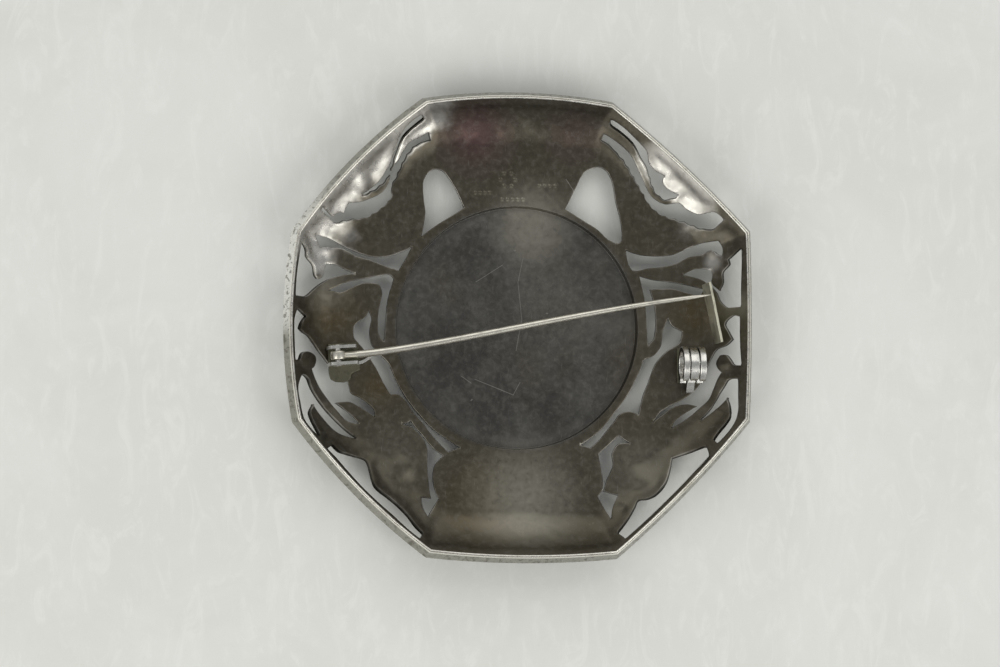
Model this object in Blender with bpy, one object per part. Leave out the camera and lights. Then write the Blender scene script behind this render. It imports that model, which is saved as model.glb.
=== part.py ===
"""An openwork brooch that lies face down, with its pin and catch on top.

All lengths below are in millimetres and MM turns them into metres. X runs across the brooch, Y up it and
+Z out of its back. Heights are measured from the crest of the border, which is the level called 0 here,
and CREST lifts them so that the flat of the domed front stands on world height 0.
"""

import math

import bpy
from mathutils import Matrix, Vector
from mathutils.geometry import delaunay_2d_cdt

MM = 0.001
CORNER = True
SOLDER_GAP = 0.04
PAD_GAP = 0.12

# The border: corner points, clockwise from the upper left, and how far each side bows out.
BORDER_CORNERS = [
    (-10.0, 23.4), (9.7, 23.3), (24.1, 10.1), (24.0, -9.6),
    (10.1, -23.7), (-9.6, -23.6), (-23.3, -9.9), (-23.4, 9.7),
]
BORDER_BOWS = [0.8, 0.4, 0.2, 0.45, 0.5, 0.7, 0.9, 0.8]
BORDER_STEPS = 8
WALL_HEIGHT = 1.87
WALL_LEAN = 0.34
WALL_FLARE = 0.20
WALL_LAND = 0.08
LEDGE_DEPTH = 1.28
LEDGE_REACH = 0.80

# The pierced sheet: how thick it is and how it dishes down to the sunken centre.
SHEET = 0.8
SHEET_INSET = 0.50
DISH_START = 0.45
DISH_END = 5.2
DISH_DEPTH = 3.0
DISH_CURVE = 1.8
DISC_RADIUS = 12.6
DISC_STEP_WIDTH = 0.4
DISC_STEP_DEPTH = 0.9
FLAT_RADIUS = 11.0
DOME_RISE = 0.15
CREST = DISH_DEPTH + DISC_STEP_DEPTH + DOME_RISE + SHEET
GRID = 1.6
DISC_SPOKES = 64
EDGE_STEP = 1.15

# The hinge, in its own frame: X along the pin, Y along the rivet, origin at the rivet's middle.
HINGE_PLACE = (-18.9, -3.15, -0.6)
HINGE_YAW = math.radians(4.0)
EAR_THICKNESS = 0.32
EAR_OFFSET = 0.85
EAR_REACH = 0.95
EAR_FRONT = 2.0
EAR_ROUNDING = 0.35
LIP_END = 3.6
LIP_TOP = -0.55
LIP_CURL = 0.75
RIVET_RADIUS = 0.30
RIVET_HOLE = 0.38
RIVET_HEAD = 0.55
BARREL_RADIUS = 0.78
BARREL_WIDTH = 0.9
WIRE_RADIUS = 0.37
PAD_THICKNESS = 0.25

# The wire of the pin: its middle line in the brooch's own X and Y, and its radius along it.
WIRE_PATH = [
    (-16.45, -2.97), (-15.0, -2.78), (-12.0, -2.36), (-8.7, -1.76), (-4.0, -0.86),
    (0.0, -0.05), (6.5, 1.16), (12.85, 2.28), (16.5, 2.86), (19.4, 3.27),
]
WIRE_RADII = [0.37, 0.37, 0.37, 0.36, 0.35, 0.34, 0.31, 0.27, 0.20, 0.05]
WIRE_PITCH = math.radians(3.8)
WIRE_SIDES = 10
BEND_PLACE = (-16.6, -2.99)
SHANK_END = 2.15

# The safety catch: two fixed hooks with a turning hook between them, all around one axis along X.
CATCH_MIDDLE = (-3.9, -0.65)
CATCH_OUTER = 1.95
CATCH_INNER = 1.4
ROLLER_OUTER = 1.85
MOUTH_LOW = math.radians(-20.0)
MOUTH_HIGH = math.radians(30.0)
LEFT_WALL = (16.78, 17.38)
ROLLER = (17.54, 18.34)
RIGHT_WALL = (18.50, 19.14)
TAB_TIP = 3.2
TAB_THICKNESS = 0.32
TAB_BACK = math.radians(-31.0)
HOOK_STEPS = 22
CATCH_PAD = ((16.7, 19.2), (-5.6, -2.0))

# The upright strip beside the catch.
GUARD_ENDS = ((19.38, 4.65), (20.65, -1.55))
GUARD_THICKNESS = 0.26
GUARD_TOP = 1.0
GUARD_FOOT_GAP = 0.32

# The sawn openings, each a closed outline. A point marked CORNER is a sharp one, the rest are on a curve.
OPENINGS = {
    "upper_left_vein": [
        (-10.3, 21.8, CORNER), (-11.5, 20.9), (-12.4, 19.8), (-12.9, 18.5), (-13.3, 17.1),
        (-13.9, 15.9), (-14.7, 14.8), (-16.3, 13.6, CORNER), (-14.9, 14.3), (-13.7, 15.4),
        (-13.2, 16.7), (-12.7, 18.2), (-12.2, 19.6), (-11.1, 20.7), (-10.1, 21.5, CORNER),
    ],
    "upper_left_scallop": [
        (-9.4, 20.1, CORNER), (-10.5, 19.5), (-11.5, 18.9), (-12.4, 17.4), (-13.1, 16.3),
        (-13.5, 14.8), (-14.0, 14.0), (-15.2, 13.3), (-16.2, 12.9), (-17.7, 12.7, CORNER),
        (-18.0, 12.1), (-18.2, 11.6, CORNER), (-18.7, 11.7, CORNER), (-19.4, 11.2, CORNER),
        (-20.5, 12.1, CORNER), (-20.7, 11.8, CORNER), (-19.2, 10.7, CORNER), (-17.6, 11.1),
        (-15.8, 11.4), (-14.5, 12.1), (-13.2, 13.5), (-13.2, 14.6), (-12.7, 15.6),
        (-12.0, 17.2), (-10.9, 18.7), (-9.2, 19.4, CORNER),
    ],
    "upper_left_drop": [
        (-8.5, 16.4), (-9.3, 16.0), (-9.8, 15.1), (-9.8, 13.6), (-9.6, 11.9, CORNER),
        (-10.0, 9.4, CORNER), (-8.4, 10.6), (-6.8, 11.6), (-5.6, 12.4, CORNER), (-6.1, 13.6),
        (-6.8, 14.9), (-7.7, 16.1),
    ],
    "upper_right_drop": [
        (8.6, 16.8), (7.1, 16.3), (6.2, 14.7), (5.6, 13.5), (5.0, 12.4, CORNER), (6.0, 11.8),
        (7.3, 11.0), (8.4, 10.3), (9.5, 9.3), (10.5, 8.9), (11.0, 9.2, CORNER), (10.9, 10.9),
        (10.3, 13.3), (10.0, 15.1), (9.4, 16.4),
    ],
    "upper_right_vein": [
        (9.6, 21.6, CORNER), (10.9, 20.7), (12.6, 19.1), (13.3, 18.3), (13.6, 17.2),
        (14.2, 16.5), (15.2, 15.9, CORNER), (15.1, 15.2), (15.7, 14.5), (16.7, 14.0, CORNER),
        (16.6, 13.7), (15.5, 13.6), (14.5, 14.4), (14.0, 15.6), (13.4, 16.9), (12.8, 17.8),
        (12.2, 18.9), (11.4, 19.8), (9.6, 21.2, CORNER),
    ],
    "upper_right_scallop": [
        (9.0, 20.2, CORNER), (10.4, 19.3), (11.7, 18.1), (12.4, 16.9), (13.2, 15.4),
        (14.1, 13.8), (15.5, 13.0), (16.9, 13.1), (17.6, 12.5), (18.9, 11.9), (20.3, 12.1),
        (21.3, 11.3, CORNER), (20.3, 10.4), (19.2, 10.6), (17.5, 11.3), (16.1, 11.7),
        (14.8, 12.2), (13.8, 13.2), (13.3, 14.2), (12.1, 16.2), (11.1, 17.7), (9.4, 19.3),
        (8.8, 19.6, CORNER),
    ],
    "left_crescent": [
        (-21.2, 9.3, CORNER), (-19.7, 9.0), (-18.2, 8.3), (-16.5, 7.6), (-15.1, 7.2),
        (-13.4, 7.3), (-12.0, 7.8), (-11.0, 8.3, CORNER), (-11.6, 7.1), (-12.4, 5.8, CORNER),
        (-13.8, 6.3), (-15.4, 6.9), (-16.8, 7.3), (-18.1, 8.0), (-19.4, 8.2),
        (-20.7, 8.1, CORNER),
    ],
    "left_rim_bay": [
        (-22.7, 8.4, CORNER), (-23.0, 6.5), (-23.2, 4.9), (-23.3, 3.0, CORNER), (-22.3, 3.0),
        (-21.1, 4.0), (-19.6, 4.9), (-17.0, 5.5, CORNER), (-18.0, 5.9), (-19.1, 6.4),
        (-20.0, 6.4, CORNER), (-20.2, 5.4), (-20.5, 4.9), (-21.0, 4.8), (-21.3, 5.2),
        (-21.5, 6.2), (-22.2, 7.0), (-22.3, 7.7, CORNER),
    ],
    "left_hook": [
        (-19.6, 3.7, CORNER), (-18.4, 4.3), (-17.2, 4.7), (-15.1, 5.1), (-13.4, 5.4),
        (-12.9, 5.0), (-13.3, 3.6), (-13.6, 2.1), (-13.7, 0.8), (-13.9, -1.5, CORNER),
        (-14.4, -0.8), (-14.5, 0.7), (-14.4, 1.9), (-14.1, 3.5), (-14.4, 4.3), (-16.0, 4.5),
        (-17.5, 3.9), (-18.4, 3.5, CORNER),
    ],
    "left_long_slot": [
        (-15.5, 1.7, CORNER), (-15.2, 0.8), (-15.4, -0.4), (-15.2, -1.8), (-14.3, -2.9),
        (-13.4, -3.8), (-12.7, -5.4), (-11.4, -7.6), (-10.1, -9.2), (-8.6, -10.7),
        (-6.0, -12.4, CORNER), (-7.2, -12.9, CORNER), (-8.7, -11.4), (-9.8, -10.0),
        (-10.8, -8.9), (-11.6, -7.7), (-12.4, -7.0), (-13.2, -7.0, CORNER), (-14.0, -5.7),
        (-14.7, -4.3), (-16.1, -2.2), (-17.0, -1.1), (-17.0, -0.0), (-15.8, 1.0, CORNER),
    ],
    "lower_left_fork": [
        (-12.0, -10.0, CORNER), (-11.5, -9.9), (-11.1, -9.7, CORNER), (-10.5, -10.5),
        (-9.8, -11.3), (-8.8, -12.5), (-7.7, -13.3, CORNER), (-8.7, -14.5), (-8.7, -16.4),
        (-8.2, -17.7, CORNER), (-9.4, -19.6, CORNER), (-9.9, -18.6), (-10.0, -17.6, CORNER),
        (-9.0, -17.7, CORNER), (-9.2, -16.4), (-9.4, -14.1), (-9.4, -12.6), (-9.9, -11.4),
        (-10.5, -10.8), (-11.1, -10.3), (-11.5, -10.2, CORNER),
    ],
    "left_tendril": [
        (-23.1, 1.6, CORNER), (-23.4, 0.6), (-23.4, -1.4), (-23.3, -3.6, CORNER),
        (-23.0, -3.6, CORNER), (-22.7, -2.9), (-22.0, -2.7), (-21.2, -3.0), (-21.0, -3.5),
        (-21.2, -4.2), (-21.5, -4.5, CORNER), (-20.8, -6.1), (-19.8, -7.5), (-18.7, -8.8),
        (-17.7, -9.8), (-16.5, -10.0, CORNER), (-17.1, -9.3), (-18.0, -8.6),
        (-19.0, -7.9, CORNER), (-17.4, -7.8), (-16.4, -8.3), (-14.9, -9.3, CORNER),
        (-14.9, -8.6), (-16.3, -7.4), (-17.3, -6.9), (-17.7, -5.7), (-19.1, -5.3),
        (-19.6, -4.1), (-20.8, -2.6), (-22.0, -1.1), (-23.0, -0.4), (-22.3, 0.9, CORNER),
    ],
    "left_leaf_gap": [
        (-22.6, -5.1, CORNER), (-23.0, -6.4), (-22.8, -7.9), (-22.3, -9.8),
        (-20.9, -11.4, CORNER), (-21.7, -9.8), (-21.9, -9.0), (-21.4, -8.1, CORNER),
        (-20.3, -9.6), (-18.8, -11.0), (-16.8, -11.6, CORNER), (-17.9, -10.8), (-19.3, -9.5),
        (-20.4, -8.3), (-21.5, -6.8), (-22.1, -5.5, CORNER),
    ],
    "lower_left_border": [
        (-20.0, -12.7, CORNER), (-19.5, -12.4, CORNER), (-18.9, -13.0), (-17.1, -13.5),
        (-15.9, -13.9), (-15.5, -15.1), (-15.1, -16.6), (-13.9, -17.6), (-12.9, -18.4),
        (-11.7, -19.6), (-10.9, -20.7), (-10.2, -21.4, CORNER), (-10.4, -21.9, CORNER),
        (-11.7, -20.9), (-13.1, -19.6), (-14.6, -18.3), (-16.2, -16.8), (-17.7, -15.2),
        (-19.1, -13.6, CORNER),
    ],
    "right_crescent": [
        (11.4, 8.2, CORNER), (12.9, 7.7), (14.8, 7.6), (16.5, 7.8), (17.8, 8.4), (19.5, 9.0),
        (21.0, 9.2, CORNER), (21.4, 8.5), (21.4, 7.7, CORNER), (20.3, 8.3), (19.3, 7.8),
        (17.9, 7.5), (16.8, 6.9), (15.2, 6.5), (13.6, 6.3), (12.1, 6.1), (11.5, 7.4, CORNER),
    ],
    "right_rim_bay": [
        (17.5, 5.7, CORNER), (18.7, 6.3), (19.6, 6.3), (20.3, 6.2), (20.4, 4.8, CORNER),
        (21.2, 4.0), (21.6, 4.8), (21.6, 5.9), (22.2, 6.7), (22.1, 7.2, CORNER),
        (23.2, 8.3, CORNER), (23.1, 4.8), (23.1, 2.3, CORNER), (21.9, 2.3), (21.3, 3.0),
        (21.0, 3.8), (19.8, 5.0), (18.7, 5.4, CORNER),
    ],
    "right_hook": [
        (12.8, 5.5, CORNER), (14.3, 5.1), (16.1, 4.9), (17.9, 4.6), (19.6, 4.2, CORNER),
        (19.3, 3.6), (17.8, 3.8), (16.3, 4.2), (13.9, 4.1, CORNER), (14.4, 2.3), (14.5, 0.3),
        (14.3, -1.0), (13.7, -1.7, CORNER), (13.6, -0.2), (13.5, 1.7), (13.3, 3.4, CORNER),
    ],
    "right_long_slot": [
        (15.8, 1.1, CORNER), (16.2, 0.4), (17.3, -0.2, CORNER), (17.0, -1.4), (15.8, -2.2),
        (14.5, -3.6), (13.7, -5.6), (13.2, -6.8), (12.7, -8.9, CORNER), (11.7, -8.6),
        (10.7, -8.9, CORNER), (9.2, -10.8), (7.6, -12.4), (6.6, -12.1, CORNER), (8.6, -10.6),
        (10.1, -8.8), (11.6, -6.8), (12.7, -4.6), (13.3, -3.2, CORNER), (14.4, -2.7),
        (15.0, -1.9), (15.3, -0.2, CORNER),
    ],
    "lower_right_fork": [
        (10.6, -11.1, CORNER), (11.8, -11.9, CORNER), (10.5, -12.0), (9.9, -12.9),
        (10.0, -14.2), (9.4, -15.6), (9.0, -16.9, CORNER), (10.5, -17.3, CORNER), (9.9, -18.6),
        (9.7, -19.7, CORNER), (9.0, -18.5), (8.4, -17.4, CORNER), (8.9, -16.7), (8.9, -15.4),
        (8.6, -13.7), (8.5, -13.0, CORNER),
    ],
    "right_tendril": [
        (22.6, 1.4, CORNER), (21.8, 0.5), (22.5, -1.1), (21.9, -1.7), (21.0, -2.1),
        (20.1, -3.7), (19.5, -5.2), (18.6, -6.4), (17.2, -7.4), (16.1, -7.9), (14.9, -8.7),
        (14.3, -9.6, CORNER), (15.2, -8.9), (16.4, -8.1), (17.7, -7.8), (18.9, -8.0, CORNER),
        (17.5, -8.8), (16.5, -9.6), (16.2, -10.3, CORNER), (17.9, -9.2), (19.2, -8.1),
        (20.1, -7.2), (20.9, -5.2), (21.3, -4.5, CORNER), (20.9, -4.0), (20.8, -3.4),
        (21.2, -2.7), (21.9, -2.7), (22.3, -3.2), (22.6, -3.7), (23.1, -3.8, CORNER),
        (23.0, -1.6), (23.0, 1.2, CORNER),
    ],
    "right_leaf_gap": [
        (22.1, -5.3, CORNER), (22.8, -5.2, CORNER), (22.8, -6.8), (22.6, -9.3),
        (20.6, -11.9, CORNER), (20.4, -11.6, CORNER), (21.0, -10.8), (22.2, -9.1),
        (21.9, -7.1, CORNER), (20.9, -8.2), (19.2, -9.5, CORNER), (20.4, -8.2), (21.3, -6.6),
    ],
    "lower_right_border": [
        (19.5, -12.3, CORNER), (19.6, -13.4), (18.2, -14.8), (16.6, -16.5), (15.2, -17.9),
        (13.7, -19.4), (12.3, -20.6), (10.9, -21.8, CORNER), (10.3, -21.3, CORNER),
        (11.4, -19.9), (12.6, -17.9, CORNER), (14.1, -17.5), (15.4, -16.1),
        (16.2, -13.5, CORNER), (18.0, -12.9, CORNER),
    ],
}

SILVER = (0.62, 0.60, 0.56)
TARNISHED = (0.085, 0.080, 0.072)


def material(name, colour, roughness):
    """A metal finish."""
    made = bpy.data.materials.new(name)
    made.use_nodes = True
    shader = made.node_tree.nodes["Principled BSDF"]
    shader.inputs["Base Color"].default_value = (*colour, 1.0)
    shader.inputs["Metallic"].default_value = 1.0
    shader.inputs["Roughness"].default_value = roughness
    return made


def make_object(name, points, faces, colour, roughness, origin=(0, 0, 0), frame=None):
    """A mesh object from points in millimetres around an origin, turned by a frame if one is given."""
    mesh = bpy.data.meshes.new(name)
    mesh.from_pydata([Vector(point) * MM for point in points], [], faces)
    mesh.update()
    mesh.materials.append(material(name + "_finish", colour, roughness))
    mesh.shade_smooth()
    mesh.set_sharp_from_angle(angle=math.radians(35))
    made = bpy.data.objects.new(name, mesh)
    place = Matrix.Translation((Vector(origin) + Vector((0, 0, CREST))) * MM)
    made.matrix_world = place @ (frame or Matrix.Identity(4))
    bpy.context.scene.collection.objects.link(made)
    return made


def border(inset, steps=BORDER_STEPS):
    """The octagon with its bowed sides, moved in by an inset, clockwise."""
    lines = []
    for start, end in zip(BORDER_CORNERS, BORDER_CORNERS[1:] + BORDER_CORNERS[:1]):
        along = (Vector(end) - Vector(start)).normalized()
        outward = Vector((-along.y, along.x))
        lines.append((Vector(start) - outward * inset, along, outward))
    corners = []
    for (here, along, _), (there, onward, _) in zip([lines[-1]] + lines[:-1], lines):
        reach = (there - here).cross(onward) / along.cross(onward)
        corners.append(here + along * reach)
    ring = []
    for index, bow in enumerate(BORDER_BOWS):
        start, end = corners[index], corners[(index + 1) % len(corners)]
        for step in range(steps):
            part = step / steps
            ring.append(start.lerp(end, part) + lines[index][2] * bow * 4 * part * (1 - part))
    return ring


BORDER_EDGE = border(0.0)


def edge_distance(point):
    """How far a point is from the border's outer edge."""
    nearest = math.inf
    for start, end in zip(BORDER_EDGE, BORDER_EDGE[1:] + BORDER_EDGE[:1]):
        side = end - start
        part = min(1.0, max(0.0, (point - start).dot(side) / side.length_squared))
        nearest = min(nearest, (point - start - side * part).length)
    return nearest


def smooth_step(low, high, value):
    part = min(1.0, max(0.0, (value - low) / (high - low)))
    return part * part * (3 - 2 * part)


def back_height(point):
    """The height of the sheet's back at a point: level at the crest, then the dish, then the sunken disc."""
    radius = point.length
    across = (edge_distance(point) - DISH_START) / (DISH_END - DISH_START)
    dish = DISH_DEPTH * (1 - (1 - min(1.0, max(0.0, across))) ** DISH_CURVE)
    half = DISC_STEP_WIDTH / 2
    step = 1 - smooth_step(DISC_RADIUS - half, DISC_RADIUS + half, radius)
    dome = 1 - smooth_step(FLAT_RADIUS, DISC_RADIUS, radius)
    return -dish - DISC_STEP_DEPTH * step - DOME_RISE * dome


def tangent(before, here, after):
    """The direction of a curve through three points, per unit of length."""
    return (after - before) / ((here - before).length + (after - here).length)


def smooth_outline(points, longest):
    """The points of a closed outline, with more points on its curves between those given."""
    places = [Vector(point[:2]) for point in points]
    sharp = [len(point) == 3 for point in points]
    count = len(points)
    outline = []
    for index, here in enumerate(places):
        after = (index + 1) % count
        there = places[after]
        length = (there - here).length
        chord = there - here
        leave = arrive = None
        if not sharp[index]:
            leave = tangent(places[index - 1], here, there) * length
        if not sharp[after]:
            arrive = tangent(here, there, places[(after + 1) % count]) * length
        if leave is None and arrive is None:
            leave = arrive = chord
        elif leave is None:
            leave = chord * 1.5 - arrive * 0.5
        elif arrive is None:
            arrive = chord * 1.5 - leave * 0.5
        pieces = math.ceil(length / longest)
        for piece in range(pieces):
            t = piece / pieces
            outline.append(
                here * (2 * t**3 - 3 * t**2 + 1)
                + leave * (t**3 - 2 * t**2 + t)
                + there * (3 * t**2 - 2 * t**3)
                + arrive * (t**3 - t**2)
            )
    return outline


def anticlockwise(loop):
    area = sum(a.cross(b) for a, b in zip(loop, loop[1:] + loop[:1]))
    return loop if area > 0 else loop[::-1]


def sheet_mesh(outer, holes, inner, top, bottom):
    """The points and faces of a sheet with holes, whose two sides follow two height functions."""
    flat = []
    loops = []
    for loop in map(anticlockwise, [outer, *holes]):
        loops.append(list(range(len(flat), len(flat) + len(loop))))
        flat.extend(loop)
    flat.extend(inner)
    points, _, faces, _, _, owners = delaunay_2d_cdt(flat, [], loops, 0, 1e-6)
    faces = [face for face, owner in zip(faces, owners) if owner == [0]]
    used = sorted({index for face in faces for index in face})
    number = {old: new for new, old in enumerate(used)}
    kept = [points[index] for index in used]
    count = len(kept)
    solid = [(p.x, p.y, top(p)) for p in kept] + [(p.x, p.y, bottom(p)) for p in kept]
    faces = [tuple(number[index] for index in face) for face in faces]
    below = [tuple(index + count for index in reversed(face)) for face in faces]
    edges = {(face[k - 1], face[k]) for face in faces for k in range(3)}
    rim = [(a, b) for a, b in edges if (b, a) not in edges]
    walls = [(b, a, a + count, b + count) for a, b in sorted(rim)]
    return solid, faces + below + walls


def flat_mesh(outer, holes, thickness):
    """The points and faces of a flat sheet with holes, half of its thickness to each side of its plane."""
    half = thickness / 2
    return sheet_mesh(outer, holes, [], lambda point: half, lambda point: -half)


def inside(point, outline):
    """Whether a point is within a closed outline."""
    within = False
    for a, b in zip(outline, outline[1:] + outline[:1]):
        if (a.y > point.y) != (b.y > point.y):
            within ^= point.x < a.x + (b.x - a.x) * (point.y - a.y) / (b.y - a.y)
    return within


def grid_points(outline, holes, spacing):
    """A triangular grid of points on the metal, clear of its edges."""
    edges = [point for loop in [outline, *holes] for point in loop]
    reach = max(point.x for point in outline)
    rows = math.ceil(reach / (spacing * math.sqrt(0.75)))
    columns = math.ceil(reach / spacing)
    found = []
    for row in range(-rows, rows + 1):
        for column in range(-columns, columns + 1):
            point = Vector(((column + (row % 2) / 2) * spacing, row * spacing * math.sqrt(0.75)))
            if not inside(point, outline) or any(inside(point, hole) for hole in holes):
                continue
            if abs(point.length - DISC_RADIUS) < DISC_STEP_WIDTH * 1.5:
                continue
            if all((point - edge).length > spacing * 0.45 for edge in edges):
                found.append(point)
    return found


def disc_points(outline, holes):
    """Two rings of points at the foot and the top of the step round the sunken disc."""
    edges = [point for loop in holes for point in loop]
    found = []
    for radius in (DISC_RADIUS - DISC_STEP_WIDTH / 2, DISC_RADIUS + DISC_STEP_WIDTH / 2):
        for spoke in range(DISC_SPOKES):
            angle = math.tau * spoke / DISC_SPOKES
            point = Vector((math.cos(angle), math.sin(angle))) * radius
            if any(inside(point, hole) for hole in holes):
                continue
            if all((point - edge).length > 0.3 for edge in edges):
                found.append(point)
    return found


def front_height(point):
    return back_height(point) - SHEET


def openwork_plate():
    outline = border(SHEET_INSET)
    holes = [smooth_outline(points, EDGE_STEP) for points in OPENINGS.values()]
    inner = grid_points(outline, holes, GRID) + disc_points(outline, holes)
    points, faces = sheet_mesh(outline, holes, inner, back_height, front_height)
    return make_object("openwork_plate", points, faces, TARNISHED, 0.38)


def rim_frame():
    """The border strip: a leaning wall with a ledge under the edge of the sheet."""
    section = [
        (-WALL_FLARE, -WALL_HEIGHT),
        (WALL_LEAN, 0.0),
        (WALL_LEAN + WALL_LAND, 0.0),
        (WALL_LEAN + WALL_LAND, -LEDGE_DEPTH),
        (LEDGE_REACH, -LEDGE_DEPTH),
        (LEDGE_REACH, -WALL_HEIGHT),
    ]
    loops = [(border(inset), height) for inset, height in section]
    count = len(loops[0][0])
    points = [(p.x, p.y, height) for ring, height in loops for p in ring]
    faces = []
    for row in range(len(loops)):
        after = (row + 1) % len(loops)
        for here in range(count):
            there = (here + 1) % count
            faces.append(
                (row * count + here, after * count + here, after * count + there, row * count + there)
            )
    return make_object("rim_frame", points, faces, SILVER, 0.3)


def box_points(low, high):
    """The points and faces of a box between two corners."""
    points = [(x, y, z) for z in (low[2], high[2]) for y in (low[1], high[1]) for x in (low[0], high[0])]
    faces = [(0, 2, 3, 1), (4, 5, 7, 6), (0, 1, 5, 4), (2, 6, 7, 3), (0, 4, 6, 2), (1, 3, 7, 5)]
    return points, faces


def arc(radius, start, end, steps, middle=(0.0, 0.0)):
    """Points along an arc, both ends included."""
    angles = [start + (end - start) * step / steps for step in range(steps + 1)]
    return [Vector((middle[0] + radius * math.cos(a), middle[1] + radius * math.sin(a))) for a in angles]


def circle(radius, steps):
    return arc(radius, 0.0, math.tau, steps)[:-1]


def upright(points):
    """Turns a flat sheet's points so that its own X and Y become X and Z, and its height becomes -Y."""
    return [(x, -z, y) for x, y, z in points]


def hinge_frame():
    return Matrix.Rotation(HINGE_YAW, 4, "Z")


def hinge_ear(name, side, front, lip):
    """One cheek of the hinge. The lower one runs on as a low lip that curls in under the pin."""
    foot = -DISH_DEPTH + PAD_GAP + PAD_THICKNESS + SOLDER_GAP - HINGE_PLACE[2]
    rounding = EAR_ROUNDING
    outline = [Vector((-EAR_REACH, foot))]
    if lip:
        along = [front + (LIP_END - front) * step / 6 for step in range(7)]
        outline += [Vector((x, foot)) for x in [front - 0.01, *along[1:]]]
        outline += [Vector((x, LIP_TOP)) for x in reversed(along)]
    else:
        outline += [Vector((front, foot))]
    outline += arc(rounding, 0.0, math.pi / 2, 4, (front - rounding, EAR_REACH - rounding))
    outline += arc(rounding, math.pi / 2, math.pi, 4, (rounding - EAR_REACH, EAR_REACH - rounding))
    points, faces = flat_mesh(outline, [circle(RIVET_HOLE, 12)], EAR_THICKNESS)
    placed = []
    for x, y, z in upright(points):
        curl = LIP_CURL * max(0.0, (x - front) / (LIP_END - front)) ** 2
        placed.append((x, y + side * EAR_OFFSET + curl, z))
    return make_object(name, placed, faces, SILVER, 0.3, HINGE_PLACE, hinge_frame())


def turned(profile, steps):
    """The points and faces of a profile of (radius, along) pairs turned about the Y axis, with flat ends."""
    points = []
    for radius, along in profile:
        points += [(p.x, along, p.y) for p in circle(radius, steps)]
    faces = []
    for row in range(len(profile) - 1):
        for here in range(steps):
            there = (here + 1) % steps
            faces.append(
                (row * steps + here, (row + 1) * steps + here, (row + 1) * steps + there, row * steps + there)
            )
    faces.append(tuple(range(steps)))
    last = (len(profile) - 1) * steps
    faces.append(tuple(range(last + steps - 1, last - 1, -1)))
    return points, faces


def hinge_rivet():
    face = EAR_OFFSET + EAR_THICKNESS / 2 + SOLDER_GAP
    profile = [
        (RIVET_HEAD * 0.7, -face - 0.28),
        (RIVET_HEAD, -face - 0.12),
        (RIVET_HEAD, -face),
        (RIVET_RADIUS, -face),
        (RIVET_RADIUS, face),
        (RIVET_HEAD, face),
        (RIVET_HEAD, face + 0.12),
        (RIVET_HEAD * 0.7, face + 0.28),
    ]
    points, faces = turned(profile, 12)
    return make_object("hinge_rivet", points, faces, SILVER, 0.25, HINGE_PLACE, hinge_frame())


def hinge_base():
    """The pad soldered to the sheet under the two cheeks."""
    low = -DISH_DEPTH + PAD_GAP - HINGE_PLACE[2]
    points, faces = box_points((-0.7, -1.7, low), (2.4, 1.35, low + PAD_THICKNESS))
    return make_object("hinge_base", points, faces, TARNISHED, 0.45, HINGE_PLACE, hinge_frame())


def pin_head():
    """The eye of the pin round the rivet, with the short shank that the wire springs from."""
    half = WIRE_RADIUS
    meet = math.asin(half / BARREL_RADIUS)
    outline = arc(BARREL_RADIUS, meet, math.tau - meet, 16)
    outline += [Vector((SHANK_END, -half)), Vector((SHANK_END, half))]
    points, faces = flat_mesh(outline, [circle(RIVET_HOLE, 12)], BARREL_WIDTH)
    frame = hinge_frame() @ Matrix.Rotation(-WIRE_PITCH, 4, "Y")
    return make_object("pin_head", upright(points), faces, SILVER, 0.25, HINGE_PLACE, frame)


def on_wire(x, y):
    """The point of the rising wire's middle line over a point of its plan."""
    return Vector((x, y, HINGE_PLACE[2] + (x - HINGE_PLACE[0]) * math.tan(WIRE_PITCH)))


def pin_stem():
    """The tapered wire, a tube along its own middle line, with its origin on the axis that it flexes about."""
    origin = on_wire(*BEND_PLACE)
    middles = [on_wire(x, y) - origin for x, y in WIRE_PATH]
    points = []
    for index, (middle, radius) in enumerate(zip(middles, WIRE_RADII)):
        before = middles[max(0, index - 1)]
        after = middles[min(len(middles) - 1, index + 1)]
        along = (after - before).normalized()
        across = Vector((0, 0, 1)).cross(along).normalized()
        up = along.cross(across)
        points += [middle + across * p.x + up * p.y for p in circle(radius, WIRE_SIDES)]
    faces = []
    for row in range(len(middles) - 1):
        for here in range(WIRE_SIDES):
            there = (here + 1) % WIRE_SIDES
            low = row * WIRE_SIDES
            high = low + WIRE_SIDES
            faces.append((low + here, low + there, high + there, high + here))
    faces.append(tuple(range(WIRE_SIDES - 1, -1, -1)))
    last = (len(middles) - 1) * WIRE_SIDES
    faces.append(tuple(range(last, last + WIRE_SIDES)))
    return make_object("pin_stem", points, faces, SILVER, 0.22, origin)


def hook_outline(outer, inner, tab):
    """A C-shaped hook in its own plane, open between the two angles of the mouth, with a thumb tab or none."""
    start, end = math.pi - MOUTH_LOW, math.pi - MOUTH_HIGH + math.tau
    outline = []
    if tab:
        root = math.pi - TAB_BACK
        spread = TAB_THICKNESS / 2 / outer
        towards = Vector((math.cos(root), math.sin(root)))
        side = Vector((-towards.y, towards.x)) * TAB_THICKNESS / 2
        outline += arc(outer, start, root - spread, 2)
        outline += [towards * TAB_TIP - side, towards * TAB_TIP + side]
        outline += arc(outer, root + spread, end, HOOK_STEPS)
    else:
        outline += arc(outer, start, end, HOOK_STEPS)
    return outline + arc(inner, end, start, HOOK_STEPS)


def catch_hook(name, span, outer, tab, colour, roughness):
    """One hook of the catch, with its origin on the catch's axis."""
    width = span[1] - span[0]
    outline = hook_outline(outer, CATCH_INNER, tab)
    points, faces = flat_mesh(outline, [], width)
    placed = [(z, x, y) for x, y, z in points]
    origin = ((span[0] + span[1]) / 2, *CATCH_MIDDLE)
    return make_object(name, placed, faces, colour, roughness, origin)


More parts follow.
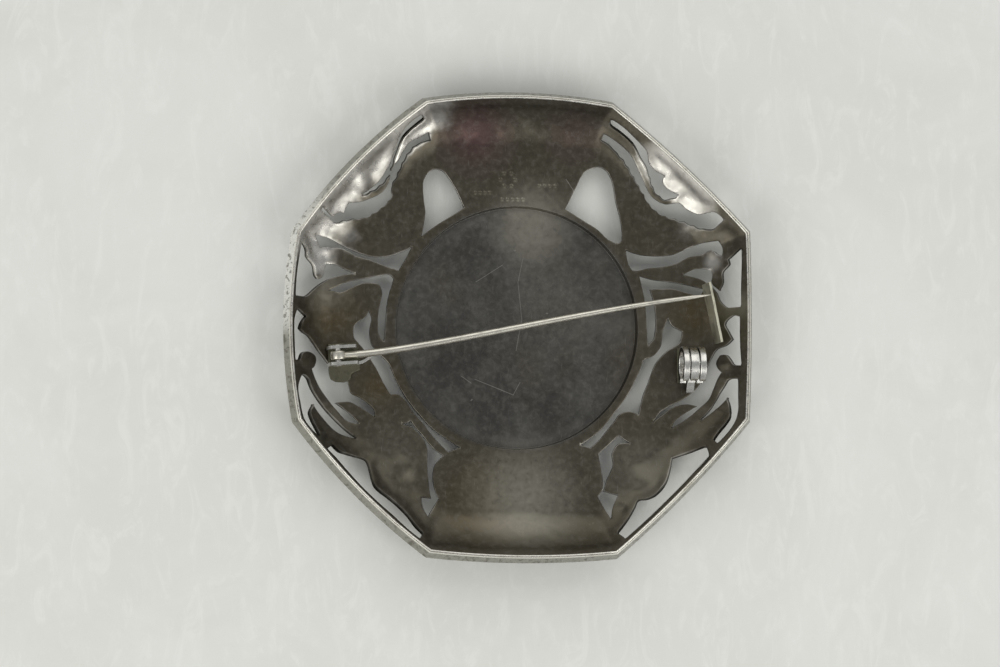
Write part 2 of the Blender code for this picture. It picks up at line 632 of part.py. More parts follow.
def catch_base():
    (left, right), (low, high) = CATCH_PAD
    floor = -DISH_DEPTH + PAD_GAP
    top = CATCH_MIDDLE[1] - CATCH_OUTER - SOLDER_GAP
    points, faces = box_points((left, low, floor), (right, high, top))
    return make_object("catch_base", points, faces, TARNISHED, 0.45)


def guard_foot(point):
    return back_height(point) + GUARD_FOOT_GAP


def guard_strip():
    """The upright strip, whose foot follows the dished sheet."""
    start, end = (Vector(point) for point in GUARD_ENDS)
    across = (end - start).normalized()
    thick = Vector((-across.y, across.x)) * GUARD_THICKNESS
    steps = 6
    ring = [start.lerp(end, step / steps) for step in range(steps + 1)]
    outline = ring + [point + thick for point in reversed(ring)]
    points, faces = sheet_mesh(outline, [], [], lambda point: GUARD_TOP, guard_foot)
    return make_object("guard_strip", points, faces, SILVER, 0.35)


def build():
    for old in list(bpy.data.objects):
        bpy.data.objects.remove(old, do_unlink=True)
    openwork_plate()
    rim_frame()
    hinge_base()
    hinge_ear("hinge_ear_upper", 1, EAR_FRONT - 0.1, lip=False)
    hinge_ear("hinge_ear_lower", -1, EAR_FRONT, lip=True)
    hinge_rivet()
    pin_head()
    pin_stem()
    catch_base()
    catch_hook("catch_wall_left", LEFT_WALL, CATCH_OUTER, False, SILVER, 0.25)
    catch_hook("catch_roller", ROLLER, ROLLER_OUTER, True, SILVER, 0.2)
    catch_hook("catch_wall_right", RIGHT_WALL, CATCH_OUTER, False, SILVER, 0.25)
    guard_strip()


build()
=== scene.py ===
"""The look of the openwork brooch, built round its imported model.

Lengths in this script are in millimetres until MM turns them into metres. Heights in the plan functions
are measured from the crest of the border, as they are in the part's own script.
"""

import math

import bpy
import numpy as np
from mathutils import Matrix, Vector, noise
from mathutils.geometry import delaunay_2d_cdt
from mathutils.kdtree import KDTree


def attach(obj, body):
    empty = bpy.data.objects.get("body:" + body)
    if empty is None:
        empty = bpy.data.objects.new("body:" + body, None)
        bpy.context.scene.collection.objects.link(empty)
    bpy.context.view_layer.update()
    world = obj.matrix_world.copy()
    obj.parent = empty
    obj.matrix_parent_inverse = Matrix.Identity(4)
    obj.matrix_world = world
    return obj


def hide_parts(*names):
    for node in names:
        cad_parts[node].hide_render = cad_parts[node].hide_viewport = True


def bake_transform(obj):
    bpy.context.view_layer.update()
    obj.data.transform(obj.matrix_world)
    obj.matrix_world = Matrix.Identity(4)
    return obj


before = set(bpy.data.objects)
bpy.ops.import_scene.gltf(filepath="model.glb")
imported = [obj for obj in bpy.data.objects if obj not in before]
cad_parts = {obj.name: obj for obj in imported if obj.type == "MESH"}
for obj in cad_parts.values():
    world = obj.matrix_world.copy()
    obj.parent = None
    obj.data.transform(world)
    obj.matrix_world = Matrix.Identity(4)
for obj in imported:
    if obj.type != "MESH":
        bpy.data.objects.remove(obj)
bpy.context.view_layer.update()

MM = 0.001
ROOT = "brooch"

# The border and the dished sheet, as the part has them.
BORDER_CORNERS = [
    (-10.0, 23.4), (9.7, 23.3), (24.1, 10.1), (24.0, -9.6),
    (10.1, -23.7), (-9.6, -23.6), (-23.3, -9.9), (-23.4, 9.7),
]
BORDER_BOWS = [0.8, 0.4, 0.2, 0.45, 0.5, 0.7, 0.9, 0.8]
DISH_START = 0.45
DISH_END = 5.2
DISH_DEPTH = 3.0
DISH_CURVE = 1.8
DISC_RADIUS = 12.55
DISC_STEP_WIDTH = 0.14
DISC_STEP_DEPTH = 0.9
FLAT_RADIUS = 11.0
DOME_RISE = 0.15
SHEET = 0.8
CREST = DISH_DEPTH + DISC_STEP_DEPTH + DOME_RISE + SHEET


# ---------------------------------------------------------------- small helpers


def quick(fine):
    return fine


def smooth_step(low, high, value):
    part = np.clip((value - low) / (high - low), 0.0, 1.0)
    return part * part * (3 - 2 * part)


def make_piece(name, points, faces, material, smooth=35.0):
    """A mesh object from points in millimetres, shaded smooth up to an angle in degrees."""
    mesh = bpy.data.meshes.new(name)
    mesh.from_pydata([(x * MM, y * MM, z * MM) for x, y, z in points], [], faces)
    mesh.validate()
    mesh.polygons.foreach_set("use_smooth", [True] * len(mesh.polygons))
    mesh.set_sharp_from_angle(angle=math.radians(smooth))
    mesh.materials.append(material)
    piece = bpy.data.objects.new(name, mesh)
    bpy.context.scene.collection.objects.link(piece)
    return piece


def add_bevel(piece, width, segments=2, angle=40.0):
    bevel = piece.modifiers.new("edges", "BEVEL")
    bevel.width = width * MM
    bevel.segments = segments
    bevel.limit_method = "ANGLE"
    bevel.angle_limit = math.radians(angle)
    bevel.harden_normals = False
    return piece


def arc(radius, start, end, steps, middle=(0.0, 0.0)):
    angles = [start + (end - start) * step / steps for step in range(steps + 1)]
    return [(middle[0] + radius * math.cos(a), middle[1] + radius * math.sin(a)) for a in angles]


def circle(radius, steps):
    return arc(radius, 0.0, math.tau, steps)[:-1]


def tree_of(points):
    """A search tree over places in plan."""
    tree = KDTree(len(points))
    for index, (x, y) in enumerate(points):
        tree.insert((x, y, 0.0), index)
    tree.balance()
    return tree


def ring_faces(rows, count, closed, base=0):
    """Faces between rings of points, from the last ring back to the first where the rings close up."""
    faces = []
    for row in range(rows if closed else rows - 1):
        low, high = base + row * count, base + (row + 1) % rows * count
        for here in range(count):
            there = (here + 1) % count
            faces.append((low + here, high + here, high + there, low + there))
    return faces


def sheet_faces(faces, count):
    """The faces of a sheet's two sides and of the walls along its open edges."""
    below = [tuple(index + count for index in reversed(face)) for face in faces]
    edges = {(face[k - 1], face[k]) for face in faces for k in range(3)}
    walls = [(b, a, a + count, b + count) for a, b in sorted(edges) if (b, a) not in edges]
    return faces + below + walls


# ---------------------------------------------------------------- materials


def new_material(name):
    material = bpy.data.materials.new(name)
    material.use_nodes = True
    tree = material.node_tree
    return material, tree, tree.nodes["Principled BSDF"]


def add_noise(tree, coordinates, scale, detail=4.0, roughness=0.55, distortion=0.0):
    node = tree.nodes.new("ShaderNodeTexNoise")
    node.inputs["Scale"].default_value = scale
    node.inputs["Detail"].default_value = detail
    node.inputs["Roughness"].default_value = roughness
    node.inputs["Distortion"].default_value = distortion
    tree.links.new(coordinates, node.inputs["Vector"])
    return node.outputs["Fac"]


def stretch(tree, coordinates, scale, turn=(0.0, 0.0, 0.0)):
    node = tree.nodes.new("ShaderNodeMapping")
    node.inputs["Scale"].default_value = scale
    node.inputs["Rotation"].default_value = turn
    tree.links.new(coordinates, node.inputs["Vector"])
    return node.outputs["Vector"]


def remap(tree, value, low, high, to_low=0.0, to_high=1.0):
    node = tree.nodes.new("ShaderNodeMapRange")
    node.interpolation_type = "SMOOTHSTEP"
    node.inputs["From Min"].default_value = low
    node.inputs["From Max"].default_value = high
    node.inputs["To Min"].default_value = to_low
    node.inputs["To Max"].default_value = to_high
    tree.links.new(value, node.inputs["Value"])
    return node.outputs["Result"]


def mix_colour(tree, factor, first, second):
    node = tree.nodes.new("ShaderNodeMix")
    node.data_type = "RGBA"
    for socket, value in ((node.inputs[6], first), (node.inputs[7], second)):
        if isinstance(value, tuple):
            socket.default_value = (*value, 1.0)
        else:
            tree.links.new(value, socket)
    tree.links.new(factor, node.inputs[0])
    return node.outputs[2]


def combine(tree, operation, first, second):
    node = tree.nodes.new("ShaderNodeMath")
    node.operation = operation
    for socket, value in zip(node.inputs, (first, second)):
        if isinstance(value, (int, float)):
            socket.default_value = value
        else:
            tree.links.new(value, socket)
    return node.outputs["Value"]


def object_coordinates(tree):
    node = tree.nodes.new("ShaderNodeTexCoord")
    return node.outputs["Object"]


def attribute(tree, name):
    node = tree.nodes.new("ShaderNodeAttribute")
    node.attribute_name = name
    return node.outputs["Fac"]


def add_bump(tree, shader, height, strength, distance):
    node = tree.nodes.new("ShaderNodeBump")
    node.inputs["Strength"].default_value = strength
    node.inputs["Distance"].default_value = distance * MM
    tree.links.new(height, node.inputs["Height"])
    tree.links.new(node.outputs["Normal"], shader.inputs["Normal"])


def line_mark(tree, coordinates, start, end, width):
    """A faint straight mark in plan between two places in millimetres, 0.5 along its middle."""
    run = Vector((*end, 0.0)) - Vector((*start, 0.0))
    steps = [("SUBTRACT", Vector((*start, 0.0)) * MM), ("MULTIPLY", Vector((1.0, 1.0, 0.0)))]
    for operation, value in steps:
        node = tree.nodes.new("ShaderNodeVectorMath")
        node.operation = operation
        tree.links.new(coordinates, node.inputs[0])
        node.inputs[1].default_value = value
        coordinates = node.outputs["Vector"]
    along = tree.nodes.new("ShaderNodeVectorMath")
    along.operation = "DOT_PRODUCT"
    tree.links.new(coordinates, along.inputs[0])
    along.inputs[1].default_value = run.normalized()
    part = combine(tree, "MINIMUM", combine(tree, "MAXIMUM", along.outputs["Value"], 0.0), run.length * MM)
    foot = tree.nodes.new("ShaderNodeVectorMath")
    foot.operation = "SCALE"
    foot.inputs[0].default_value = run.normalized()
    tree.links.new(part, foot.inputs["Scale"])
    gap = tree.nodes.new("ShaderNodeVectorMath")
    gap.operation = "DISTANCE"
    tree.links.new(coordinates, gap.inputs[0])
    tree.links.new(foot.outputs["Vector"], gap.inputs[1])
    return remap(tree, gap.outputs["Value"], 0.2 * width * MM, width * MM, 0.5, 0.0)


# Scratches on the disc and beside it: both ends and the half width.
SCRATCHES = [
    ((-4.2, 4.8), (-1.4, 6.6), 0.05), ((0.7, 7.2), (0.2, 4.8), 0.05), ((0.2, 4.8), (0.6, 1.0), 0.05),
    ((0.6, 1.0), (0.0, -2.3), 0.05), ((-5.7, -5.0), (-4.7, -5.7), 0.05), ((-4.3, -5.3), (-1.8, -6.3), 0.06),
    ((-1.8, -6.3), (-0.3, -6.9), 0.06), ((-0.3, -6.9), (0.4, -5.6), 0.05), ((5.1, 15.5), (6.1, 14.0), 0.06),
    ((-0.2, 8.1), (-0.1, 8.1), 0.12), ((-4.7, -7.5), (-4.6, -7.4), 0.11), ((3.2, 1.6), (3.3, 1.6), 0.11),
]


# Tints that the sheet's painted patches give its tarnish, the pale one partly a painted sheen: attribute,
# strength and colour.
TARNISH_AND_SHEEN_TINTS = [
    ("wing", 0.75, (0.100, 0.088, 0.062)),
    ("purple", 0.7, (0.135, 0.072, 0.078)),
    ("brown", 0.7, (0.125, 0.096, 0.052)),
    # Pale: paler tarnish, partly a painted sheen.
    ("pale", 0.8, (0.33, 0.315, 0.265)),
]
# Fine scuffs all over, in two directions: turn in radians and scale.
SCUFFS = [(0.6, 5200.0), (2.5, 6100.0)]


def tarnished_silver():
    """Dark tarnish, mottled and scratched; made bright where an attribute says, by worn metal and by painted
    sheen and highlights; darkened by painted shade on the cut walls.
    """
    material, tree, shader = new_material("tarnished_silver")
    where = object_coordinates(tree)
    mottle = add_noise(tree, where, 1700.0, 6.0, 0.62, 0.4)
    blotch = add_noise(tree, where, 210.0, 5.0, 0.55, 0.5)
    hue = add_noise(tree, where, 120.0, 3.0, 0.5)
    dark = mix_colour(tree, remap(tree, blotch, 0.35, 0.65), (0.088, 0.085, 0.079), (0.128, 0.125, 0.116))
    dark = mix_colour(tree, remap(tree, hue, 0.50, 0.75, 0.0, 0.5), dark, (0.115, 0.097, 0.070))
    for name, strength, colour in TARNISH_AND_SHEEN_TINTS:
        dark = mix_colour(tree, combine(tree, "MULTIPLY", attribute(tree, name), strength), dark, colour)
    dark = mix_colour(tree, remap(tree, mottle, 0.45, 0.75, 0.0, 0.20), dark, (0.27, 0.26, 0.24))
    dark = mix_colour(tree, remap(tree, mottle, 0.25, 0.42, 0.25, 0.0), dark, (0.05, 0.046, 0.040))
    for turn, scale in SCUFFS:
        scuffs = add_noise(tree, stretch(tree, where, (1.0, 0.10, 1.0), (0.0, 0.0, turn)), scale, 2.0, 0.5)
        dark = mix_colour(tree, remap(tree, scuffs, 0.66, 0.82, 0.0, 0.25), dark, (0.36, 0.34, 0.31))
    for start, end, width in SCRATCHES:
        dark = mix_colour(tree, line_mark(tree, where, start, end, width), dark, (0.42, 0.40, 0.37))
    # Painted shade on the cut walls, darker towards the underside.
    dark = mix_colour(tree, attribute(tree, "painted_wall_shade"), dark, (0.030, 0.027, 0.022))
    # Bright metal where the attribute says: worn metal, painted sheen on the upper slopes and painted
    # highlights along the cut edges.
    wear_and_sheen = combine(tree, "ADD", attribute(tree, "wear_and_sheen"), remap(tree, blotch, 0.3, 0.7, -0.15, 0.15))
    bright = remap(tree, wear_and_sheen, 0.15, 0.95)
    colour = mix_colour(tree, bright, dark, (0.78, 0.76, 0.71))
    tree.links.new(colour, shader.inputs["Base Color"])
    shader.inputs["Metallic"].default_value = 1.0
    rough = remap(tree, mottle, 0.3, 0.7, 0.36, 0.48)
    rough = combine(tree, "SUBTRACT", rough, combine(tree, "MULTIPLY", bright, 0.14))
    tree.links.new(rough, shader.inputs["Roughness"])
    height = combine(tree, "ADD", mottle, combine(tree, "MULTIPLY", scuffs, 0.3))
    add_bump(tree, shader, height, 0.30, 0.03)
    return material


def striped_silver():
    """The border strip: a bright crest, and a wall that is dull and streaked except on the left, where a
    painted reflection makes it bright.
    """
    material, tree, shader = new_material("bright_silver")
    where = object_coordinates(tree)
    streak = add_noise(tree, stretch(tree, where, (1.0, 1.0, 0.35), (0.5, 0.4, 0.0)), 2300.0, 3.0, 0.6, 0.4)
    broad = add_noise(tree, where, 300.0, 4.0, 0.6)
    # Painted reflection: the wall bright on the left side.
    wall = mix_colour(tree, attribute(tree, "painted_reflection"), (0.36, 0.35, 0.31), (0.95, 0.95, 0.92))
    wall = mix_colour(tree, remap(tree, streak, 0.50, 0.66, 0.0, 0.8), wall, (0.16, 0.15, 0.12))
    crest = mix_colour(tree, remap(tree, broad, 0.50, 0.72, 0.0, 0.6), (0.95, 0.93, 0.86), (0.50, 0.47, 0.40))
    tree.links.new(mix_colour(tree, attribute(tree, "crest"), wall, crest), shader.inputs["Base Color"])
    shader.inputs["Metallic"].default_value = 1.0
    tree.links.new(remap(tree, streak, 0.3, 0.75, 0.24, 0.42), shader.inputs["Roughness"])
    add_bump(tree, shader, streak, 0.4, 0.03)
    return material


def polished_silver(name, colour, roughness, grain=(1.0, 1.0, 1.0), scale=1500.0, bump=0.03):
    """Bright silver with fine wear, darker in the grain that runs along one direction."""
    material, tree, shader = new_material(name)
    where = stretch(tree, object_coordinates(tree), grain)
    fine = add_noise(tree, where, scale, 5.0, 0.6, 0.3)
    broad = add_noise(tree, object_coordinates(tree), 320.0, 4.0, 0.55)
    dull = tuple(part * 0.42 for part in colour)
    body = mix_colour(tree, remap(tree, broad, 0.52, 0.74, 0.0, 0.75), colour, dull)
    body = mix_colour(tree, remap(tree, fine, 0.52, 0.75, 0.0, 0.5), body, dull)
    tree.links.new(body, shader.inputs["Base Color"])
    shader.inputs["Metallic"].default_value = 1.0
    tree.links.new(remap(tree, fine, 0.3, 0.75, roughness, roughness + 0.2), shader.inputs["Roughness"])
    add_bump(tree, shader, fine, 0.4, bump)
    return material


PLATE = tarnished_silver()
RIM = striped_silver()
FITTING = polished_silver("fitting_silver", (0.80, 0.79, 0.75), 0.20)
WIRE = polished_silver("pin_wire", (0.80, 0.77, 0.68), 0.24, (0.08, 1.0, 1.0), 3200.0)
SOLDER = polished_silver("solder_grey", (0.15, 0.145, 0.105), 0.48, scale=2200.0, bump=0.12)
# Near-black painted shade for the gaps between the catch's hooks.
GAP_SHADE = polished_silver("painted_gap_shade", (0.045, 0.042, 0.034), 0.60, bump=0.05)
GUARD = polished_silver("guard_silver", (0.74, 0.73, 0.60), 0.48, (1.0, 1.0, 0.15))


# ---------------------------------------------------------------- the plan of the sheet


def border(inset, steps=8):
    """The border's outline moved inwards by a distance, as an array of points, clockwise."""
    lines = []
    for start, end in zip(BORDER_CORNERS, BORDER_CORNERS[1:] + BORDER_CORNERS[:1]):
        along = (Vector(end) - Vector(start)).normalized()
        outward = Vector((-along.y, along.x))
        lines.append((Vector(start) - outward * inset, along, outward))
    corners = []
    for (here, along, _), (there, onward, _) in zip([lines[-1]] + lines[:-1], lines):
        reach = (there - here).cross(onward) / along.cross(onward)
        corners.append(here + along * reach)
    ring = []
    for index, bow in enumerate(BORDER_BOWS):
        start, end = corners[index], corners[(index + 1) % len(corners)]
        for step in range(steps):
            part = step / steps
            point = start.lerp(end, part) + lines[index][2] * bow * 4 * part * (1 - part)
            ring.append((point.x, point.y))
    return np.array(ring)


def distance_to(ring, points):
    """How far each point is from a closed outline."""
    nearest = np.full(len(points), np.inf)
    for start, end in zip(ring, np.roll(ring, -1, axis=0)):
        side = end - start
        part = np.clip((points - start) @ side / (side @ side), 0.0, 1.0)
        gap = points - start - part[:, None] * side
        nearest = np.minimum(nearest, np.hypot(gap[:, 0], gap[:, 1]))
    return nearest


BORDER_EDGE = border(0.0)


def hump(points, middle, radius):
    """1 at the middle, falling smoothly to 0 at the radius."""
    gap = np.hypot(points[:, 0] - middle[0], points[:, 1] - middle[1])
    return 1 - smooth_step(0.0, radius, gap)


def ripple(points, scale, seed):
    """Seeded smooth noise over the plan, about -1 to 1."""
    return np.array([noise.noise(Vector((x * scale, y * scale, seed))) for x, y in points])


def back_height(points):
    edge = distance_to(BORDER_EDGE, points)
    radius = np.hypot(points[:, 0], points[:, 1])
    half = DISC_STEP_WIDTH / 2
    across = np.clip((edge - DISH_START) / (DISH_END - DISH_START), 0.0, 1.0)
    dish = DISH_DEPTH * (1 - (1 - across) ** DISH_CURVE)
    step = 1 - smooth_step(DISC_RADIUS - half, DISC_RADIUS + half, radius)
    dome = 1 - smooth_step(FLAT_RADIUS, DISC_RADIUS, radius)
    return -dish - DISC_STEP_DEPTH * step - DOME_RISE * dome


def chain(segments):
    """Closed loops of points from unordered segments."""
    near = {}
    for a, b in segments:
        near.setdefault(a, []).append(b)
        near.setdefault(b, []).append(a)
    loops = []
    while near:
        here = min(near)
        loop = [here]
        before = None
        while True:
            onward = [point for point in near[here] if point != before]
            before, here = here, onward[0]
            if here == loop[0]:
                break
            loop.append(here)
        for point in loop:
            del near[point]
        loops.append(np.array(loop))
    return loops


def plan_loops(node):
    """The outlines of a CAD sheet in plan, from its upright walls: the outer one first."""
    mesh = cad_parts[node].data
    mesh.calc_loop_triangles()
    corners = np.array([vertex.co for vertex in mesh.vertices]) / MM
    segments = set()
    for face in mesh.loop_triangles:
        if abs(face.normal.z) > 0.02:
            continue
        flat = sorted({(round(float(x), 3), round(float(y), 3)) for x, y, _ in corners[list(face.vertices)]})
        if len(flat) == 2:
            segments.add(tuple(flat))
    loops = chain(segments)
    return sorted(loops, key=lambda loop: -np.ptp(loop[:, 0]))


def smooth_loop(loop, spacing, corner=55.0):
    """A closed outline drawn as curves through its points, with a corner where it turns sharply."""
    count = len(loop)
    before, after = np.roll(loop, 1, axis=0), np.roll(loop, -1, axis=0)
    arrive, leave = loop - before, after - loop
    turn = np.abs(np.degrees(np.arctan2(
        arrive[:, 0] * leave[:, 1] - arrive[:, 1] * leave[:, 0], (arrive * leave).sum(axis=1)
    )))
    sharp = turn > corner
    lengths = np.hypot(leave[:, 0], leave[:, 1])
    tangents = (after - before) / (lengths + np.roll(lengths, 1))[:, None]
    outline = []
    for index in range(count):
        there = (index + 1) % count
        length, chord = lengths[index], leave[index]
        out = chord if sharp[index] else tangents[index] * length
        into = chord if sharp[there] else tangents[there] * length
        if sharp[index] and not sharp[there]:
            out = chord * 1.5 - into * 0.5
        if sharp[there] and not sharp[index]:
            into = chord * 1.5 - out * 0.5
        pieces = max(1, math.ceil(length / spacing))
        for piece in range(pieces):
            t = piece / pieces
            outline.append(
                loop[index] * (2 * t**3 - 3 * t**2 + 1)
                + out * (t**3 - 2 * t**2 + t)
                + loop[there] * (3 * t**2 - 2 * t**3)
                + into * (t**3 - t**2)
            )
    return np.array(outline)


def turned_inwards(loop, distance):
    """Points moved off a closed outline to its left by a distance."""
    along = np.roll(loop, -1, axis=0) - np.roll(loop, 1, axis=0)
    along /= np.hypot(along[:, 0], along[:, 1])[:, None]
    return loop + np.stack([-along[:, 1], along[:, 0]], axis=1) * distance


def anticlockwise(loop):
    x, y = loop[:, 0], loop[:, 1]
    return loop if (x * np.roll(y, -1) - y * np.roll(x, -1)).sum() > 0 else loop[::-1]


# ---------------------------------------------------------------- the openwork plate

# Bosses worked in from the front, which show as low rounds here: place, radius and height.
BOSSES = [
    ((-16.4, 14.8), 1.5, 0.30), ((-12.2, -14.8), 2.2, 0.34), ((13.0, -15.4), 1.8, 0.30),
    ((10.9, -18.6), 0.6, -0.18), ((-22.1, -3.6), 1.0, 0.22), ((21.6, -3.5), 1.0, 0.22),
    ((10.7, 8.2), 0.4, -0.12),
]


# Plain round punch dots beside the disc, in four groups: place and radius.
DOTS = [((-1.6 + 0.55 * step, 13.35), 0.17) for step in range(5)]
DOTS += [((-4.4 + 0.50 * step, 14.0), 0.15) for step in range(4)]
DOTS += [((2.3 + 0.55 * step, 14.8), 0.17) for step in range(4)]
HEXAGON = np.arange(0, 6) * math.pi / 3
DOTS += [((-1.0 + 0.75 * math.cos(turn), 15.4 + 0.75 * math.sin(turn)), 0.19) for turn in HEXAGON]
# A dot's depth, and how far from its middle the mesh is finer.
DOT_DEPTH = 0.09
DOT_REACH = 0.4


def dent_depth(points):
    """How deep the punch dots are pressed."""
    return sum(DOT_DEPTH * hump(points, middle, radius * 1.5) for middle, radius in DOTS)


# Patches of colour on the tarnish, the pale ones partly a painted sheen, and patches of painted sheen on the
# upper slopes: place, radius and strength.
PURPLE = [((-4.5, 20.0), 5.5, 0.9), ((6.0, 20.5), 4.5, 0.4)]
BROWN = [
    ((-3.0, -18.0), 7.0, 1.0), ((-19.0, 1.0), 4.5, 0.9), ((18.5, 1.5), 4.0, 0.8), ((-14.5, -6.0), 3.5, 0.9),
]
# Paler tarnish, partly a painted sheen.
PALE = [
    ((1.5, 10.8), 6.0, 1.2), ((4.0, 3.0), 9.0, 0.30), ((0.5, -17.5), 8.0, 1.0), ((12.5, -14.5), 6.0, 0.30),
    ((-12.0, -13.0), 6.0, 0.15), ((-20.0, 4.0), 4.0, 0.5), ((12.0, 0.5), 5.0, 0.2), ((22.4, 2.5), 2.5, 0.9),
]
# Painted sheen: bright patches on the upper slopes near the border.
SHEEN_PATCHES = [
    ((-20.6, 7.0), 2.6, 0.9), ((20.5, 7.0), 2.4, 0.7), ((-17.5, 9.5), 3.0, 0.35), ((17.5, 10.5), 3.0, 0.35),
]


def spots(points, places):
    """The sum of soft round patches."""
    return sum(strength * hump(points, middle, radius) for middle, radius, strength in places)


def relief(points):
    """The low unevenness of the back that the hand-worked sheet has."""
    edge = distance_to(BORDER_EDGE, points)
    radius = np.hypot(points[:, 0], points[:, 1])
    wing = smooth_step(1.2, 3.0, edge) * smooth_step(13.4, 14.4, radius)
    rise = 0.10 * wing * ripple(points, 0.42, 3.0) + 0.05 * wing * ripple(points, 1.1, 9.0)
    rise += 0.012 * (1 - wing) * ripple(points, 0.5, 5.0) * smooth_step(0.9, 1.5, edge)
    for middle, size, height in BOSSES:
        rise += height * hump(points, middle, size)
    return rise - dent_depth(points)


def front_thickness(points, gap):
    """How thick the sheet is: full along the middles of its bands and thinner at the cut edges."""
    radius = np.hypot(points[:, 0], points[:, 1])
    swell = smooth_step(0.0, 1.3, gap)
    wing = smooth_step(13.2, 14.2, radius)
    return SHEET - 0.30 * wing * (1 - swell) - 0.12 * wing * (0.5 + 0.5 * ripple(points, 0.9, 17.0))


def dish_lean(points):
    """How steeply the back climbs along X and Y, without the disc's step."""
    small = 0.02
    lean = []
    for shift in ((small, 0.0), (0.0, small)):
        climb = []
        for sign in (1.0, -1.0):
            edge = distance_to(BORDER_EDGE, points + np.array(shift) * sign)
            across = np.clip((edge - DISH_START) / (DISH_END - DISH_START), 0.0, 1.0)
            climb.append(-DISH_DEPTH * (1 - (1 - across) ** DISH_CURVE))
        lean.append((climb[0] - climb[1]) / (2 * small))
    return np.stack(lean, axis=1)


def wall_lean(points, gap):
    """How far the underside lies off the back in plan where the sheet is cut square to its own slope."""
    lean = dish_lean(points)
    edge = distance_to(BORDER_EDGE, points)
    share = (1 - smooth_step(0.0, 1.1, gap)) * smooth_step(0.5, 1.2, edge) * front_thickness(points, gap)
    return lean / np.sqrt(1 + (lean**2).sum(axis=1))[:, None] * share[:, None]


def cleared(loop):
    """A hole's outline moved into the metal so that its leaning wall leaves the drawn opening clear."""
    lean = wall_lean(loop, np.zeros(len(loop)))
    along = np.roll(loop, -1, axis=0) - np.roll(loop, 1, axis=0)
    along /= np.hypot(along[:, 0], along[:, 1])[:, None]
    into_metal = np.stack([along[:, 1], -along[:, 0]], axis=1)
    push = 0.4 * np.abs((lean * into_metal).sum(axis=1))
    run = np.cumsum(np.hypot(*(loop - np.roll(loop, 1, axis=0)).T))
    radius = np.hypot(loop[:, 0], loop[:, 1])
    inward = -(into_metal * loop).sum(axis=1) / radius
    turn = np.degrees(np.arctan2(loop[:, 1], np.abs(loop[:, 0])))
    edge = distance_to(BORDER_EDGE, loop)
    where = smooth_step(0.45, 0.75, inward) * smooth_step(14.5, 15.5, radius) * smooth_step(2.7, 3.2, edge)
    where *= smooth_step(12.0, 22.0, turn) * (1 - smooth_step(58.0, 64.0, turn))
    push += 0.13 * where * np.abs(np.sin(run * math.pi / 1.05))
    return loop + into_metal * push[:, None]


def dented(x, y):
    """Whether a place lies at a punch dot, which needs a finer mesh."""
    return any(abs(x - middle[0]) < DOT_REACH and abs(y - middle[1]) < DOT_REACH for middle, _ in DOTS)


# How far in the sheet's cut edges are rounded off, and how far its grid of places reaches from the middle.
ROUNDING = 0.07
HALF_WIDTH = 24.5


def inner_points(outer, holes, tree, spacing):
    """Places inside the sheet: beside its edges, over a triangular grid, on the disc's step and at the dots."""
    beside = [turned_inwards(outer, distance) for distance in (0.025, ROUNDING)]
    beside += [turned_inwards(loop, -distance) for loop in holes for distance in (0.025, ROUNDING)]
    places = [(x, y) for ring in beside for x, y in ring if tree.find((x, y, 0.0))[2] > 0.02]
    step_reach = DISC_STEP_WIDTH * 0.8
    rows = math.ceil(HALF_WIDTH / (spacing * math.sqrt(0.75)))
    columns = math.ceil(HALF_WIDTH / spacing)
    for row in range(-rows, rows + 1):
        for column in range(-columns, columns + 1):
            x, y = (column + (row % 2) / 2) * spacing, row * spacing * math.sqrt(0.75)
            if abs(math.hypot(x, y) - DISC_RADIUS) < step_reach + spacing * 0.4:
                continue
            if tree.find((x, y, 0.0))[2] > max(spacing * 0.55, ROUNDING + 0.05) and not dented(x, y):
                places.append((x, y))
    for radius in np.linspace(DISC_RADIUS - step_reach, DISC_RADIUS + step_reach, 9):
        for x, y in circle(radius, quick(360)):
            if tree.find((x, y, 0.0))[2] > 0.08:
                places.append((x, y))
    fine = quick(0.085)
    grid = [(x, y) for x in np.arange(-4.9, 4.9, fine) for y in np.arange(12.9, 16.7, fine)]
    return places + [(x, y) for x, y in grid if dented(x, y)]


def paint_plate(piece, plan, gap, edge):
    """The sheet's painted patches, first for the side in view and then for the side underneath."""
    plain = np.zeros(len(plan))
    turn = np.degrees(np.arctan2(plan[:, 1], plan[:, 0]))
    # Painted sheen on the upper-left and upper-right slopes near the border.
    left_wing = smooth_step(100.0, 116.0, turn) * (1 - smooth_step(156.0, 172.0, turn))
    right_wing = smooth_step(26.0, 36.0, turn) * (1 - smooth_step(50.0, 60.0, turn))
    wear_and_sheen = (0.72 * left_wing + 0.55 * right_wing) * (1 - smooth_step(2.2, 4.2, edge))
    # Painted sheen patches, and bright rims along the cut edges that are partly worn metal and partly painted
    # highlight.
    wear_and_sheen += spots(plan, SHEEN_PATCHES) + 0.40 * (1 - smooth_step(0.03, 0.10, gap)) * smooth_step(0.9, 1.1, edge)
    wing = smooth_step(12.4, 12.9, np.hypot(plan[:, 0], plan[:, 1]))
    paint(piece, "wing", np.concatenate([wing, plain]))
    paint(piece, "wear_and_sheen", np.concatenate([np.clip(wear_and_sheen, 0, 1), np.where(gap > 0.15, 0.35, 0.0)]))
    for name, places in (("purple", PURPLE), ("brown", BROWN), ("pale", PALE)):
        paint(piece, name, np.concatenate([np.clip(spots(plan, places), 0, 1), plain]))
    # Painted shade: the underside near the cut edges, and so the cut walls below the top, near black.
    paint(piece, "painted_wall_shade", np.concatenate([plain, 1 - smooth_step(0.0, 0.12, gap)]))


